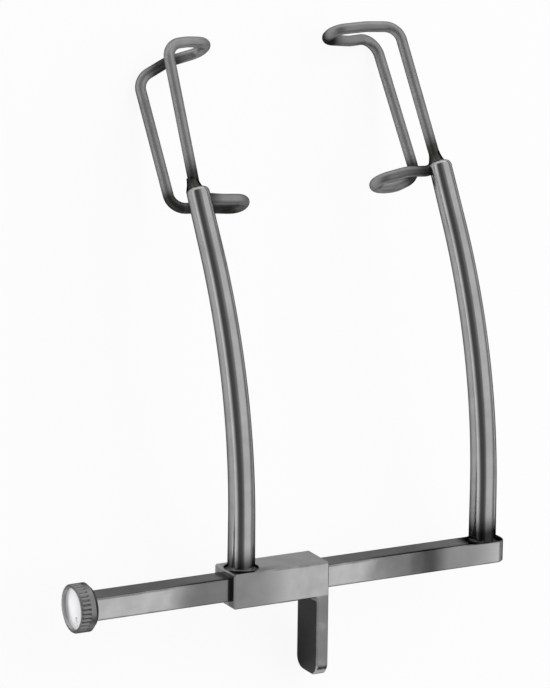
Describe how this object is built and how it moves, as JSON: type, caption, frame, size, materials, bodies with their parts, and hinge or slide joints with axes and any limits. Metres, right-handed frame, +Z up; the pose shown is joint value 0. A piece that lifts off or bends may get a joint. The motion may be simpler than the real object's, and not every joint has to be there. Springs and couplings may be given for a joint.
{
  "type": "eye speculum",
  "caption": "Self-retaining eye speculum: bowed arms with bent wire lid blades on a crossbar, with a sliding sleeve, a thumb tab and a knurled end knob.",
  "frame": {"origin": "middle of the box round the part, on the surface that it lies on", "axes": "+X along the crossbar from the end knob to its free end, +Y from the thumb tab along the arms to the blade tops, +Z up, away from the surface it lies on"},
  "size_m": [0.052, 0.0702, 0.0136],
  "materials": {
    "polished_steel": "polished stainless steel bar, fine lengthwise polishing lines",
    "slide_steel": "milled and polished stainless steel",
    "knob_steel": "turned and polished stainless steel with a straight knurl",
    "arm_steel": "polished stainless steel rod",
    "wire_steel": "polished stainless steel wire"
  },
  "bodies": {
    "bar": {"crossbar": "polished_steel", "fixed_arm": "arm_steel", "fixed_blade": "wire_steel"},
    "sleeve": {"slide": "slide_steel", "sliding_arm": "arm_steel", "sliding_blade": "wire_steel"},
    "knob": {"end_knob": "knob_steel"}
  },
  "joints": [
    {"name": "slide_travel", "type": "slide", "parent": "bar", "child": "sleeve", "axis": [1, 0, 0], "range_m": [-0.0159, 0.0143]},
    {"name": "knob_turn", "type": "hinge", "parent": "bar", "child": "knob", "pos_m": [-0.02505, -0.02447, 0.0058], "axis": [-1, 0, 0], "range_deg": [0, 1080]}
  ]
}
